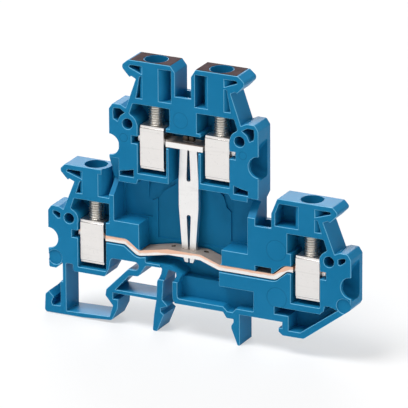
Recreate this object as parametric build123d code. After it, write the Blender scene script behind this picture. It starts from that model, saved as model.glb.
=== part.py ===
from build123d import *

import math
import os

# Miniature feed-through terminal block with two levels, one moulded housing and four screw clamps.
# The origin is the middle of the 35 mm seat, in the plane where the seat rests and in the middle of
# the block's thickness. X runs along the block, Y through its thickness with the open front at -Y,
# and Z points up. Lengths are in millimetres.

os.makedirs("parts", exist_ok=True)

# Block
THICKNESS = 5.2
CORE_WEB = 1.1           # back wall behind the open middle
WALL = 0.8               # walls between pockets
EPS = 1.0                # how far a cutter runs past a face

# Two levels of clamps, each a mirrored pair
UPPER_AXIS = -2.65       # mirror line of the upper pair
UPPER_SPREAD = 6.75      # mirror line to clamp axis
LOWER_AXIS = 0.2
LOWER_SPREAD = 22.35
LEVEL_RISE = 20.6        # upper clamps above the lower ones
UPPER_TOP = 46.6
LOWER_TOP = 24.1
UPPER_END = 8.65         # clamp axis to the end of the block
LOWER_END = 9.0

# Clamp cage, heights above the level's own base
CAGE_WIDTH = 4.9
CAGE_WALL = 0.5
CAGE_ROOF = 1.4          # threaded wall
CAGE_DROP = 5.0          # bar's underside to the foot of the open cage
CAGE_HEIGHT = 8.45
CAGE_LIP = 0.5           # height of the step at the foot of the front wall
CAGE_LIP_DEPTH = 0.2
CAGE_FOLD = 0.4          # height of the step at the head of the front wall
CAGE_FOLD_DEPTH = 0.15
SCREW_ROOM = 0.1         # screw to the inner faces of the cage
CAGE_OUTER_GAP = 0.3
CAGE_INNER_GAP = 0.75
CAGE_BACK_GAP = 0.1
CAGE_TRAVEL = 3.5
FLOOR_GAP = 0.95         # chamber floor under the open cage
FLOOR_WALL = 1.05
ROOF_GAP = 0.7           # chamber roof over the closed cage
LEDGE = 1.15             # plate that carries the screw head
BRIDGE_ROOM = 1.95       # upper bar to the foot of the block above it
MIDDLE_STEP = 1.0        # upper block's foot to the head of the open middle

# Clamp screw
THREAD_DIAMETER = 3.0
THREAD_PLAY = 0.05       # on the radius, in the cage
SHANK_PLAY = 0.15        # on the radius, in the ledge
HEAD_DIAMETER = 4.0
HEAD_PLAY = 0.2          # on the radius, in the screwdriver bore
HEAD_HEIGHT = 1.9
HEAD_LIFT = 0.05
SLOT_WIDTH = 0.7
SLOT_DEPTH = 1.0
POINT_LENGTH = 0.4
POINT_DIAMETER = 2.3
SCREW_TIP_GAP = 0.05
BORE_WALL = 0.9          # tube round the screwdriver bore

# Current bars
BAR_THICK = 1.1
BAR_DEPTH = 3.6
BAR_FRONT_GAP = 0.4      # bar edge behind the front plane
BAR_PLAY = 0.2
TONGUE_DEPTH = 2.5       # bar inside the cages
BAR_HEIGHT = 9.95        # underside in the clamps, above the level's base
BAR_BEND = 1.3           # radius of the bends, on the middle line
TIP_OUT = 3.3            # bar end past the clamp axis
TIP_ROOM = 0.7
NECK_GAP = 0.45          # cage side to the wide part of the bar
SAG_HEIGHT = 9.85        # middle line of the lower bar under the bonder
LOW_HEIGHT = 8.5         # middle line of the lower bar beside the tray
DIMPLE_REACH = 3.4       # from the bonder's axis
DIMPLE_DIAMETER = 0.9
DIMPLE_DEPTH = 0.35

# Level bonder
BONDER_THICK = 1.0
BONDER_HALF = 2.05
BONDER_FOOT_HALF = 1.5
BONDER_HEAD_HALF = 1.75
PRONG_HALF = 1.1
LOWER_PRONG = 1.55       # past the lower bar
UPPER_PRONG = 0.95       # past the upper bar
PRONG_PLAY = 0.08
SPLIT_END = 0.3
SPLIT_ROOT = 0.85
SPLIT_LENGTH = 6.75      # from the bar into the plate

# Openings of the housing
PIN_HOLE = 2.1
PIN_HOLE_DEPTH = 3.5
PIN_HEIGHT = 13.4
PIN_BOSS = 3.9
UPPER_PIN_OUT = 4.8
LOWER_PIN_OUT = 4.55
WIRE_BORE = 2.6
WIRE_DROP = 1.7          # bar's underside to the axis of the wire
FUNNEL_LENGTH = 3.3
FUNNEL_UP = 5.4          # axis of the wire to the head of the funnel's mouth
FUNNEL_DOWN = 2.1        # and to its foot
FUNNEL_FRONT = 0.4       # wall before the mouth
FUNNEL_BACK = 1.3        # wall behind it
FUNNEL_ROUND = 0.7       # corners of the mouth
THROAT = 3.0             # the funnel's inner end
THROAT_ROUND = 1.4
NOTCH_ROUND = 2.05       # round notch in the funnel's front wall
NOTCH_RISE = 0.65        # its middle above the axis of the wire
SHAFT_FRONT = 0.6        # front wall of the two bridge shafts
SHAFT_WIDTH = 3.3
SHAFT_GATE = 1.2         # bridge shaft's open foot, above the bar
DEEP_POCKET = 3.7
TRAY_POCKET = 2.2
SHALLOW = 0.25           # panels and round marks
LEG_STEP = 0.4           # head of the left leg behind the front plane
THIN_WEB = 0.4           # back wall behind the two corner pockets
TOWER_RIM = 0.95         # tower's top above its pockets
LOWER_REACH = 7.2        # lower clamp axis to the inner side of the right tower
SLOT_REACH = 3.95        # and of the left tower's open slot
UPPER_REACH = 5.1        # upper clamp axis to the inner side of its tower
LOWER_TIP = 5.1          # clamp axis to the tip of the pocket under the tower's outer edge
UPPER_TIP = 4.55

# Seat for a 35 mm mounting profile
SEAT_WIDTH = 35.0
SEAT_PLAY = 0.1
FLANGE_SLOT = 1.25       # height of the slots that take the flanges
SPRING_LEAF = 0.7
SPIKE_DROP = 6.2

# Print on the upper towers
PRINT_THICK = 0.05
PRINT_MARGIN = 0.15

# Worked out from the values above
FRONT = -THICKNESS / 2
BACK = THICKNESS / 2
CORE_FLOOR = BACK - CORE_WEB
CAGE_DEPTH = THREAD_DIAMETER + 2 * (CAGE_WALL + SCREW_ROOM)
CLAMP_FLOOR = CAGE_DEPTH / 2 + CAGE_BACK_GAP
CAGE_BOTTOM = BAR_HEIGHT - CAGE_DROP
CAGE_TOP = CAGE_BOTTOM + CAGE_HEIGHT
ROOF = CAGE_TOP + CAGE_TRAVEL + ROOF_GAP
HEAD_SEAT = ROOF + LEDGE
FLOOR = CAGE_BOTTOM - FLOOR_GAP
BLOCK_FOOT = FLOOR - FLOOR_WALL
BAR_TOP = BAR_HEIGHT + BAR_THICK
BAR_FRONT = FRONT + BAR_FRONT_GAP
BAR_BACK = BAR_FRONT + BAR_DEPTH
WIRE_HEIGHT = BAR_HEIGHT - WIRE_DROP
OUTER_WALL = CAGE_WIDTH / 2 + CAGE_OUTER_GAP
INNER_WALL = CAGE_WIDTH / 2 + CAGE_INNER_GAP
DRIVER_BORE = HEAD_DIAMETER + 2 * HEAD_PLAY
TUBE_DIAMETER = DRIVER_BORE + 2 * BORE_WALL
SEAT_HALF = SEAT_WIDTH / 2 + SEAT_PLAY
BONDER_FRONT = -BONDER_THICK / 2
LEFT, RIGHT = -1, 1


def corner(before, here, after, radius):
    """Start, middle and end of the arc that rounds a corner."""
    back = math.atan2(before[1] - here[1], before[0] - here[0])
    ahead = math.atan2(after[1] - here[1], after[0] - here[0])
    half = math.atan2(math.sin(ahead - back), math.cos(ahead - back)) / 2
    reach = radius / abs(math.tan(half))
    middle = back + half
    gap = radius / abs(math.sin(half)) - radius
    start = (here[0] + reach * math.cos(back), here[1] + reach * math.sin(back))
    top = (here[0] + gap * math.cos(middle), here[1] + gap * math.sin(middle))
    end = (here[0] + reach * math.cos(ahead), here[1] + reach * math.sin(ahead))
    return start, top, end


def outline(points):
    """A face in the XZ plane. A point is x, z and, where its corner is round, a radius."""
    edges = []
    last = None
    first = None
    for i, point in enumerate(points):
        if len(point) == 3 and point[2] > 0:
            start, top, end = corner(points[i - 1], point, points[(i + 1) % len(points)], point[2])
        else:
            start, top, end = point[:2], None, point[:2]
        if last is None:
            first = start
        elif math.dist(last, start) > 1e-6:
            edges.append(Edge.make_line(last, start))
        if top is not None:
            edges.append(Edge.make_three_point_arc(start, top, end))
        last = end
    edges.append(Edge.make_line(last, first))
    return make_face(Plane.XZ * Wire(edges))


def slab(points, front, back):
    """A plate with an outline in X and Z, from y=front to y=back."""
    return extrude(Pos(0, back, 0) * outline(points), amount=back - front, dir=(0, -1, 0))


def side_slab(points, low, high):
    """A plate from x=low to x=high. A point is y and z."""
    face = make_face(Polyline(*[(0, point[0], point[1]) for point in points], close=True))
    return extrude(Pos(low, 0, 0) * face, amount=high - low, dir=(1, 0, 0))


def block(low, high):
    """A box between two corners."""
    size = [high[i] - low[i] for i in range(3)]
    return Pos(*low) * Box(*size, align=(Align.MIN, Align.MIN, Align.MIN))


def post(x, z, diameter, front, back):
    """A round bar along Y."""
    return Pos(x, (front + back) / 2, z) * Rot(90, 0, 0) * Cylinder(diameter / 2, back - front)


def column(x, low, high, diameter):
    """A round bar along Z in the middle of the thickness."""
    return Pos(x, 0, low) * Cylinder(diameter / 2, high - low, align=(Align.CENTER, Align.CENTER, Align.MIN))


def ribbon(line, thick, radius):
    """Outline of a strip of sheet that follows a line, with its bends round one centre."""
    sides = ([], [])
    for i, here in enumerate(line):
        before = line[max(i - 1, 0)]
        after = line[min(i + 1, len(line) - 1)]
        turn_in = math.atan2(here[1] - before[1], here[0] - before[0]) if i else None
        turn_out = math.atan2(after[1] - here[1], after[0] - here[0]) if i < len(line) - 1 else None
        if turn_in is None:
            turn_in = turn_out
        if turn_out is None:
            turn_out = turn_in
        turn = turn_out - turn_in
        normal = (turn_in + turn_out) / 2 + math.pi / 2
        reach = thick / 2 / math.cos(turn / 2)
        for side, sign in ((0, 1), (1, -1)):
            x = here[0] + sign * reach * math.cos(normal)
            z = here[1] + sign * reach * math.sin(normal)
            bend = radius - sign * math.copysign(thick / 2, turn) if abs(turn) > 1e-6 else 0
            sides[side].append((x, z, bend))
    return sides[0] + sides[1][::-1]


class Clamp:
    """Where one screw clamp stands: its axis, which way is outward, its level and its tower."""

    def __init__(self, name, side, level_axis, spread, base, top, end, pin_out):
        self.name = name
        self.side = side
        self.x = level_axis + side * spread
        self.base = base
        self.top = top
        self.end = end
        self.pin_out = pin_out

    def at(self, out):
        """The x of a distance outward from the clamp's axis."""
        return self.x + self.side * out

    def raised(self, shape):
        """Moves an outline of outward distances and heights above the base to this clamp."""
        return [(self.at(point[0]), self.base + point[1], *point[2:]) for point in shape]

    def under_top(self, shape):
        """Moves an outline of outward distances and depths below the tower's top to this clamp."""
        return [(self.at(point[0]), self.top - point[1], *point[2:]) for point in shape]

    def span(self, inner, outer):
        """Lowest and highest x between two outward distances."""
        return sorted((self.at(inner), self.at(outer)))


UPPER = (UPPER_AXIS, UPPER_SPREAD, LEVEL_RISE, UPPER_TOP, UPPER_END, UPPER_PIN_OUT)
LOWER = (LOWER_AXIS, LOWER_SPREAD, 0.0, LOWER_TOP, LOWER_END, LOWER_PIN_OUT)
UPPER_LEFT = Clamp("upper_left", LEFT, *UPPER)
UPPER_RIGHT = Clamp("upper_right", RIGHT, *UPPER)
LOWER_LEFT = Clamp("lower_left", LEFT, *LOWER)
LOWER_RIGHT = Clamp("lower_right", RIGHT, *LOWER)
UPPER_CLAMPS = (UPPER_LEFT, UPPER_RIGHT)
LOWER_CLAMPS = (LOWER_LEFT, LOWER_RIGHT)
CLAMPS = UPPER_CLAMPS + LOWER_CLAMPS

# Walls of the middle, tied to the clamps beside it
GAP_FLOOR = LEVEL_RISE + 20.2          # between the upper towers
STEP_FLOOR = 18.1                      # between the right tower and the upper level
RIGHT_WALL = 12.05
CORE_LEFT = LOWER_LEFT.at(-INNER_WALL - 1.75)
CORE_RIGHT = 10.5
CORE_HEAD = LEVEL_RISE + BLOCK_FOOT - 0.1
CORE_TOP = CORE_HEAD - MIDDLE_STEP
BRIDGE_HEIGHT = LEVEL_RISE + BAR_TOP + BRIDGE_ROOM
SHELF_TOP = 7.15                       # ledge over the left leg
SHELF_TIP = (-3.3, 5.75)               # its right end, where the tray begins
TRAY_TOP = 5.0                         # head of the tray's back wall


def upper_flank(clamp):
    """Outer side of an upper clamp, from the tower's top down to the block's end."""
    head = clamp.under_top([
        (4.55, 0.0, 0.4),
        (6.15, 1.35, 0.8),
        (4.3, 3.35, 0.15),
        (3.9, 3.1, 0.1),
        (3.0, 3.55, 0.1),
    ])
    shoulder = clamp.raised([
        (5.1, 16.45, 0.15),
        (6.15, 17.0, 0.15),
        (7.9, 17.0, 0.5),
        (clamp.end, 15.9, 0.5),
    ])
    return head + shoulder


def lower_flank(clamp):
    """Outer side of a lower clamp, from the tower's top down to the wire entry."""
    head = clamp.under_top([
        (5.3, 0.0, 0.4),
        (6.5, 1.2, 0.7),
        (4.7, 3.05, 0.15),
        (4.35, 2.75, 0.1),
        (3.35, 3.2, 0.1),
    ])
    shoulder = clamp.raised([
        (5.7, 15.0, 0.15),
        (6.7, 15.45, 0.15),
        (8.3, 15.45, 0.5),
        (clamp.end, 14.4, 0.5),
    ])
    return head + shoulder


def body_outline():
    """The whole block seen from the front, without its holes, clockwise from the middle gap."""
    middle_gap = [
        (UPPER_LEFT.at(-UPPER_REACH), GAP_FLOOR),
        (UPPER_RIGHT.at(-UPPER_REACH), GAP_FLOOR),
        (UPPER_RIGHT.at(-UPPER_REACH), UPPER_TOP - 1.5, 0.5),
        (UPPER_RIGHT.at(-4.15), UPPER_TOP, 0.3),
    ]
    right_step = [
        (UPPER_RIGHT.at(UPPER_END), LEVEL_RISE + BLOCK_FOOT),
        (RIGHT_WALL, LEVEL_RISE + BLOCK_FOOT - 1.5),
        (RIGHT_WALL, STEP_FLOOR),
        (LOWER_RIGHT.at(-LOWER_REACH), STEP_FLOOR),
        (LOWER_RIGHT.at(-LOWER_REACH), LOWER_TOP - 3.1, 0.5),
        (LOWER_RIGHT.at(-5.95), LOWER_TOP, 0.3),
    ]
    right_foot = [
        (LOWER_RIGHT.at(LOWER_END), 5.0, 0.5),
        (31.2, 4.35),
        (SEAT_HALF + 4.4, -2.6, 0.8),
        (SEAT_HALF + 0.1, -2.65, 0.5),
        (SEAT_HALF - 0.75, -2.0, 0.2),
        (SEAT_HALF - 0.75, -FLANGE_SLOT),
        (SEAT_HALF, -FLANGE_SLOT),
        (SEAT_HALF, 0.0),
    ]
    right_spike = [
        (8.85, 0.0),
        (8.85, -SPIKE_DROP, 0.1),
        (8.4, -SPIKE_DROP, 0.1),
        (7.1, -3.0, 0.2),
        (7.1, -2.5, 0.2),
        (7.55, -1.7),
        (7.55, -1.1, 0.1),
        (6.1, -1.1, 0.4),
        (5.4, 0.0, 0.3),
    ]
    left_spike = [
        (-4.65, 0.0, 0.2),
        (-5.1, 0.9, 0.3),
        (-5.1, 4.1, 0.4),
        (-4.45, 5.35, 0.3),
        (-4.55, 6.15, 0.2),
        (-6.05, 6.35, 0.2),
        (-7.0, 3.9, 0.6),
        (-7.25, 0.25, 0.3),
        (-6.1, -0.85, 0.1),
        (-7.6, -1.4, 0.2),
        (-7.6, -2.2, 0.2),
        (-6.95, -2.7, 0.1),
        (-8.4, -SPIKE_DROP, 0.2),
        (-9.3, -SPIKE_DROP, 0.3),
        (-9.0, -3.0, 0.5),
        (-8.5, 0.0),
    ]
    latch = [
        (-SEAT_HALF, 0.0),
        (-SEAT_HALF, -FLANGE_SLOT),
        (-SEAT_HALF + 1.1, -FLANGE_SLOT),
        (-SEAT_HALF + 0.9, -3.2),
        (-SEAT_HALF - 0.3, -5.6, 0.6),
        (-24.0, -6.05),
        (-32.15, -6.1, 0.6),
        (-31.95, -2.55, 0.4),
        (-29.0, 0.45, 0.2),
        (-28.2, 0.45),
        (-28.2, 4.45, 0.1),
        (-29.55, 3.05, 0.15),
        (-31.05, 3.05, 0.35),
        (LOWER_LEFT.at(LOWER_END), 6.5, 0.3),
    ]
    left_step = [
        (UPPER_LEFT.at(UPPER_END), LOWER_TOP),
    ]
    upper_left_top = [
        (UPPER_LEFT.at(-4.15), UPPER_TOP, 0.3),
        (UPPER_LEFT.at(-UPPER_REACH), UPPER_TOP - 1.2, 0.5),
    ]
    return (
        middle_gap
        + upper_flank(UPPER_RIGHT)
        + right_step
        + lower_flank(LOWER_RIGHT)
        + right_foot
        + right_spike
        + left_spike
        + latch
        + lower_flank(LOWER_LEFT)[::-1]
        + left_step
        + upper_flank(UPPER_LEFT)[::-1]
        + upper_left_top
    )


def spring_opening():
    """Through opening between the snap foot, its strut and the lower left clamp."""
    return [
        (-28.2 + SPRING_LEAF, 4.35, 0.3),
        (-28.2 + SPRING_LEAF, -5.3, 0.1),
        (-SEAT_HALF - 0.75, -4.95, 0.3),
        (-SEAT_HALF - 0.05, -2.6, 0.2),
        (-SEAT_HALF - 1.6, -0.75, 0.4),
        (-SEAT_HALF - 1.4, 0.5, 0.4),
        (-14.35, 5.25, 0.2),
        (-12.15, 5.25, 0.78),
        (-12.15, 6.87, 0.78),
        (-18.0, 6.87, 0.7),
        (-18.4, 4.6, 0.5),
        (-19.3, BLOCK_FOOT, 0.3),
        (-26.0, BLOCK_FOOT, 0.5),
        (-26.0, 4.35, 0.2),
    ]


def shelf_opening():
    """Through opening over the shelf that lies on the left flange."""
    return [
        (-SEAT_HALF + 0.55, SPRING_LEAF),
        (-14.1, 4.0, 0.5),
        (-12.2, 4.1, 0.8),
        (-10.6, 6.55, 0.7),
        (-7.35, 6.6, 0.4),
        (-7.6, 5.3, 0.8),
        (-8.3, 3.8, 0.6),
        (-8.45, SPRING_LEAF),
    ]


def middle_recess():
    """Open middle of the block: round the bonder, under the lower bar and up to the upper bar."""
    shaft = INNER_WALL + 0.45
    bar = LEVEL_RISE + BAR_HEIGHT - BAR_PLAY
    return [
        (CORE_LEFT, 14.5, 0.2),
        (-12.0, 14.5),
        (-12.0, 9.6),
        (-10.7, 9.2),
        (-10.7, SHELF_TOP, 0.3),
        (-5.6, SHELF_TOP, 0.8),
        SHELF_TIP,
        (-3.65, TRAY_TOP),
        (4.6, TRAY_TOP),
        (4.6, 9.1),
        (5.15, 9.5),
        (5.15, 12.25),
        (CORE_RIGHT, 12.25),
        (CORE_RIGHT, CORE_TOP),
        (7.25, CORE_TOP, 0.2),
        (6.6, CORE_HEAD, 0.3),
        (UPPER_RIGHT.at(-shaft), CORE_HEAD),
        (UPPER_RIGHT.at(-shaft), bar),
        (UPPER_RIGHT.at(-OUTER_WALL), bar),
        (UPPER_RIGHT.at(-OUTER_WALL), BRIDGE_HEIGHT),
        (UPPER_LEFT.at(-OUTER_WALL), BRIDGE_HEIGHT),
        (UPPER_LEFT.at(-OUTER_WALL), bar),
        (UPPER_LEFT.at(-shaft), bar),
        (UPPER_LEFT.at(-shaft), CORE_HEAD),
        (-12.1, CORE_HEAD, 0.2),
        (-12.4, CORE_TOP, 0.2),
        (CORE_LEFT, CORE_TOP),
    ]


def lower_bar_line():
    """Middle line of the lower bar from tip to tip."""
    clamp_height = BAR_HEIGHT + BAR_THICK / 2
    return [
        (LOWER_LEFT.at(TIP_OUT), clamp_height),
        (-14.95, clamp_height),
        (-12.35, 8.6),
        (-6.2, SAG_HEIGHT),
        (0.6, SAG_HEIGHT),
        (4.5, LOW_HEIGHT),
        (15.9, LOW_HEIGHT),
        (18.2, clamp_height),
        (LOWER_RIGHT.at(TIP_OUT), clamp_height),
    ]


def chamber(clamp):
    """Room for one cage, its travel and its screw, round the boss of the end hole."""
    inner_top = INNER_WALL + 0.75
    room = slab(clamp.raised([
        (-inner_top, ROOF),
        (clamp.pin_out - 1.1, ROOF, 0.3),
        (clamp.pin_out - 0.4, 15.6),
        (OUTER_WALL, CAGE_TOP + 0.1),
        (OUTER_WALL, FLOOR, 0.15),
        (-INNER_WALL, FLOOR, 0.15),
        (-INNER_WALL, CAGE_TOP + 0.3),
        (-inner_top, CAGE_TOP + 0.3),
    ]), FRONT - EPS, CLAMP_FLOOR)
    return room - post(clamp.at(clamp.pin_out), clamp.base + PIN_HEIGHT, PIN_BOSS, FRONT - 2 * EPS, BACK)


def tip_recess(clamp):
    """Room for the end of a bar outside its cage."""
    low, high = clamp.span(0, TIP_OUT + TIP_ROOM)
    return block(
        (low, FRONT - EPS, clamp.base + BAR_HEIGHT - BAR_PLAY),
        (high, TONGUE_DEPTH / 2 + BAR_PLAY, clamp.base + BAR_TOP + BAR_PLAY),
    )


def screw_passage(clamp):
    """Screwdriver bore down to the ledge, and the shank's hole through it."""
    seat = clamp.base + HEAD_SEAT
    bore = column(clamp.x, seat, clamp.top + EPS, DRIVER_BORE)
    shank = column(clamp.x, clamp.base + ROOF - EPS, seat + EPS, THREAD_DIAMETER + 2 * SHANK_PLAY)
    return [bore, shank]


def across(x, low, high, radius):
    """A rounded rectangle across X, between two corners in Y and Z."""
    middle = [(low[i] + high[i]) / 2 for i in range(2)]
    plane = Plane(origin=(x, *middle), x_dir=(0, 1, 0), z_dir=(1, 0, 0))
    return plane * RectangleRounded(high[0] - low[0], high[1] - low[1], radius)


def wire_entry(clamp):
    """Funnel at the block's end, the notch in its front wall and the round hole from it to the cage."""
    wire = clamp.base + WIRE_HEIGHT
    half = THROAT / 2
    inner = clamp.at(clamp.end - FUNNEL_LENGTH)
    throat = across(inner, (-half, wire - half), (half, wire + half), THROAT_ROUND)
    mouth_low = (FRONT + FUNNEL_FRONT, wire - FUNNEL_DOWN)
    mouth_high = (BACK - FUNNEL_BACK, wire + FUNNEL_UP)
    funnel = loft([throat, across(clamp.at(clamp.end), mouth_low, mouth_high, FUNNEL_ROUND)])
    notch_low = WIRE_HEIGHT + NOTCH_RISE - NOTCH_ROUND
    notch_high = WIRE_HEIGHT + NOTCH_RISE + NOTCH_ROUND
    notch = slab(clamp.raised([
        (clamp.end + EPS, notch_low - 0.01),
        (clamp.end - NOTCH_ROUND, notch_low - 0.01, NOTCH_ROUND),
        (clamp.end - NOTCH_ROUND, notch_high + 0.01, NOTCH_ROUND),
        (clamp.end + EPS, notch_high + 0.01),
    ]), FRONT - EPS, 0)
    start = OUTER_WALL - CAGE_OUTER_GAP
    length = clamp.end - FUNNEL_LENGTH + 0.1 - start
    hole = Pos(clamp.at(start + length / 2), 0, wire) * Rot(0, 90, 0) * Cylinder(WIRE_BORE / 2, length)
    return [funnel, notch, hole]


def shoulder_pockets(clamp, shapes):
    """Hollows of the moulding beside a clamp, and the round hole near its end."""
    cuts = [slab(clamp.raised(shape), FRONT - EPS, FRONT + DEEP_POCKET) for shape in shapes]
    x = clamp.at(clamp.pin_out)
    hole = post(x, clamp.base + PIN_HEIGHT, PIN_HOLE, FRONT - EPS, FRONT + PIN_HOLE_DEPTH)
    return cuts + [hole]


def upper_pockets(clamp):
    """Hollows of the moulding round an upper clamp."""
    shoulder = [
        (5.3, 15.55),
        (6.4, 16.2),
        (7.7, 16.15, 0.2),
        (7.8, 15.2),
        (7.7, 14.05, 0.2),
        (6.85, 13.65),
        (6.3, 14.8),
    ]
    foot = [(3.6, 4.65), (3.6, 3.05), (6.5, 3.05), (6.5, 4.0), (4.9, 4.25)]
    return shoulder_pockets(clamp, (shoulder, foot))


def lower_pockets(clamp):
    """Hollow of the moulding beside a lower clamp."""
    shoulder = [
        (6.4, 14.15, 0.15),
        (6.45, 13.15, 0.2),
        (6.95, 13.1, 0.2),
        (7.85, 13.85, 0.2),
        (7.95, 14.5, 0.15),
        (7.3, 14.5),
    ]
    mark = post(clamp.at(7.6), clamp.base + 5.2, 2.9, FRONT - EPS, FRONT + SHALLOW)
    return shoulder_pockets(clamp, (shoulder,)) + [mark]


def tower_pockets(clamp, tip, inner, open_top):
    """Hollows of a tower, each side of the tube round its screwdriver bore."""
    floor = clamp.top - clamp.base - HEAD_SEAT
    rim = TOWER_RIM
    upper = [(1.0, rim), (tip - 0.45, rim), (tip, rim + 0.4, 0.2), (1.9, rim + 1.45), (1.0, rim + 1.75)]
    lower = [(1.0, rim + 2.0), (2.2, rim + 2.0, 0.2), (3.0, floor), (1.0, floor)]
    hollows = [clamp.under_top(upper), clamp.under_top(lower), inner]
    if open_top:
        hollows.append(open_top)
    cut = None
    for hollow in hollows:
        piece = slab(hollow, FRONT - EPS, FRONT + DEEP_POCKET)
        cut = piece if cut is None else cut + piece
    tube = column(clamp.x, clamp.base, clamp.top + 2 * EPS, TUBE_DIAMETER)
    return cut - tube


def bridge_shafts():
    """The two shafts for a plug-in bridge: between the upper towers and beside the right tower."""
    front = FRONT + SHAFT_FRONT
    upper = block(
        (UPPER_AXIS - SHAFT_WIDTH / 2, front, BRIDGE_HEIGHT - EPS),
        (UPPER_AXIS + SHAFT_WIDTH / 2, CORE_FLOOR, GAP_FLOOR + EPS),
    )
    right = LOWER_RIGHT.at(-LOWER_REACH)
    foot = LOW_HEIGHT + BAR_THICK / 2
    lower = block((right - SHAFT_WIDTH, front, foot - 0.1), (right, CORE_FLOOR, STEP_FLOOR + EPS))
    gate = block((right - SHAFT_WIDTH, FRONT - EPS, foot - 0.1), (right, CORE_FLOOR, foot + SHAFT_GATE))
    return [upper, lower, gate]


def wall_notches():
    """V-shaped notches in the front of the two walls beside the middle."""
    root = CORE_TOP - 0.4
    out = FRONT - EPS
    left = [(out, root - 3.6), (0.0, root), (out, root + 6.8)]
    right = [(out, root - 3.5), (0.0, root), (out, root + 1.7)]
    return [
        side_slab(left, CORE_LEFT - 1.1, UPPER_LEFT.at(6.7)),
        side_slab(right, CORE_RIGHT, UPPER_RIGHT.at(UPPER_END + EPS)),
    ]


def back_wall_hollows():
    """Shallow panels in the back wall of the open middle, and two corner pockets under the upper block."""
    cuts = []
    for low, high, foot in ((-16.8, -11.1, 14.9), (-10.0, 4.1, 11.0), (5.2, CORE_RIGHT - 0.4, 12.6)):
        cuts.append(block((low, CORE_FLOOR - EPS, foot), (high, CORE_FLOOR + SHALLOW, CORE_TOP)))
    deep = BACK - THIN_WEB
    slope = side_slab([
        (CORE_FLOOR - EPS, 18.2),
        (CORE_FLOOR + SHALLOW, 18.2),
        (deep, 21.4),
        (deep, CORE_HEAD),
        (CORE_FLOOR - EPS, CORE_HEAD),
    ], CORE_LEFT, CORE_RIGHT)
    left = [
        (-11.95, 18.25),
        (-10.9, 18.25, 0.4),
        (-9.7, 19.0, 0.6),
        (-8.9, 20.3, 0.6),
        (-6.3, 22.0),
        (-6.3, 24.0),
        (-11.95, 24.0),
    ]
    right = [
        (5.7, 18.2),
        (5.2, 18.25, 0.3),
        (4.2, 19.2, 0.6),
        (3.4, 21.2, 0.6),
        (1.8, 22.4),
        (1.8, 24.0),
        (5.7, 24.0),
    ]
    for shape in (left, right):
        cuts.append(slab(shape, CORE_FLOOR - EPS, BACK) & slope)
    return cuts


def foot_pockets():
    """Hollows of the seat, the snap foot, the spike and the right foot."""
    tray = slab([
        (-4.1, 1.05, 0.5),
        (5.4, 1.05),
        (6.3, 0.2, 0.2),
        (7.4, 0.2, 0.2),
        (8.1, 1.05),
        (11.7, 1.05, 0.2),
        (11.7, TRAY_TOP),
        (4.4, TRAY_TOP),
        (4.4, TRAY_TOP + EPS),
        (SHELF_TIP[0], TRAY_TOP + EPS),
        SHELF_TIP,
        (-4.1, 4.1, 0.4),
    ], FRONT - EPS, FRONT + TRAY_POCKET)
    right_foot = slab([
        (SEAT_HALF - 1.6, 2.8),
        (SEAT_HALF - 1.6, 1.35),
        (SEAT_HALF + 1.3, 1.35),
        (SEAT_HALF + 1.3, -1.5),
        (SEAT_HALF + 3.7, -1.5, 0.3),
        (25.0, 1.2),
        (28.9, 4.1),
        (27.2, 4.6, 0.3),
        (26.3, 4.6, 0.2),
        (26.1, 3.6),
        (25.3, 2.8),
    ], FRONT - EPS, FRONT + DEEP_POCKET)
    nose = slab([
        (-28.7, 1.6),
        (-28.7, -4.5, 0.3),
        (-30.5, -4.6, 0.4),
        (-30.7, -3.9, 0.3),
        (-30.15, -2.95, 0.2),
        (-31.7, -1.4),
    ], FRONT - EPS, FRONT + DEEP_POCKET)
    leg_head = slab([
        (-8.7, 4.25),
        (SHELF_TIP[0], 4.25),
        (SHELF_TIP[0], SHELF_TOP + EPS),
        (-7.7, SHELF_TOP + EPS),
        (-7.7, 6.0),
        (-8.7, 6.0),
    ], FRONT - EPS, FRONT + LEG_STEP)
    return [tray, right_foot, nose, leg_head]


def bar_channel():
    """Room for the lower bar through the walls between its clamps and the middle."""
    strip = ribbon(lower_bar_line(), BAR_THICK + 2 * BAR_PLAY, BAR_BEND)
    return slab(strip, FRONT - EPS, BAR_BACK + BAR_PLAY)


def make_housing():
    """The moulded housing with its snap foot, in one piece."""
    floor = LOWER_TOP - HEAD_SEAT
    rim = TOWER_RIM
    wall = WALL - LOWER_REACH
    slot = -SLOT_REACH
    right_inner = LOWER_RIGHT.under_top([
        (-1.0, rim), (wall + WALL, rim, 0.2), (wall, rim + 2.0, 0.3), (wall, floor), (-1.0, floor),
    ])
    left_inner = LOWER_LEFT.under_top([(-1.0, rim), (slot, rim), (slot, floor), (-1.0, floor)])
    left_open = LOWER_LEFT.under_top([(-2.4, -EPS), (slot, -EPS), (slot, rim + EPS), (-2.4, rim + EPS)])
    upper_floor = UPPER_TOP - LEVEL_RISE - HEAD_SEAT
    upper_wall = WALL - UPPER_REACH
    upper_inner = [(-1.0, rim), (upper_wall, rim), (upper_wall, upper_floor), (-1.0, upper_floor)]
    cuts = [
        slab(spring_opening(), FRONT - EPS, BACK + EPS),
        slab(shelf_opening(), FRONT - EPS, BACK + EPS),
        slab(middle_recess(), FRONT - EPS, CORE_FLOOR),
        bar_channel(),
        tower_pockets(LOWER_LEFT, LOWER_TIP, left_inner, left_open),
        tower_pockets(LOWER_RIGHT, LOWER_TIP, right_inner, None),
    ]
    for clamp in UPPER_CLAMPS:
        cuts.append(tower_pockets(clamp, UPPER_TIP, clamp.under_top(upper_inner), None))
        cuts += upper_pockets(clamp)
    for clamp in LOWER_CLAMPS:
        cuts += lower_pockets(clamp)
    for clamp in CLAMPS:
        cuts.append(chamber(clamp))
        cuts.append(tip_recess(clamp))
        cuts += screw_passage(clamp)
        cuts += wire_entry(clamp)
    cuts += bridge_shafts()
    cuts += wall_notches()
    cuts += back_wall_hollows()
    cuts += foot_pockets()
    housing = slab(body_outline(), FRONT, BACK)
    for cut in cuts:
        housing = housing - cut
    return housing


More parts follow.
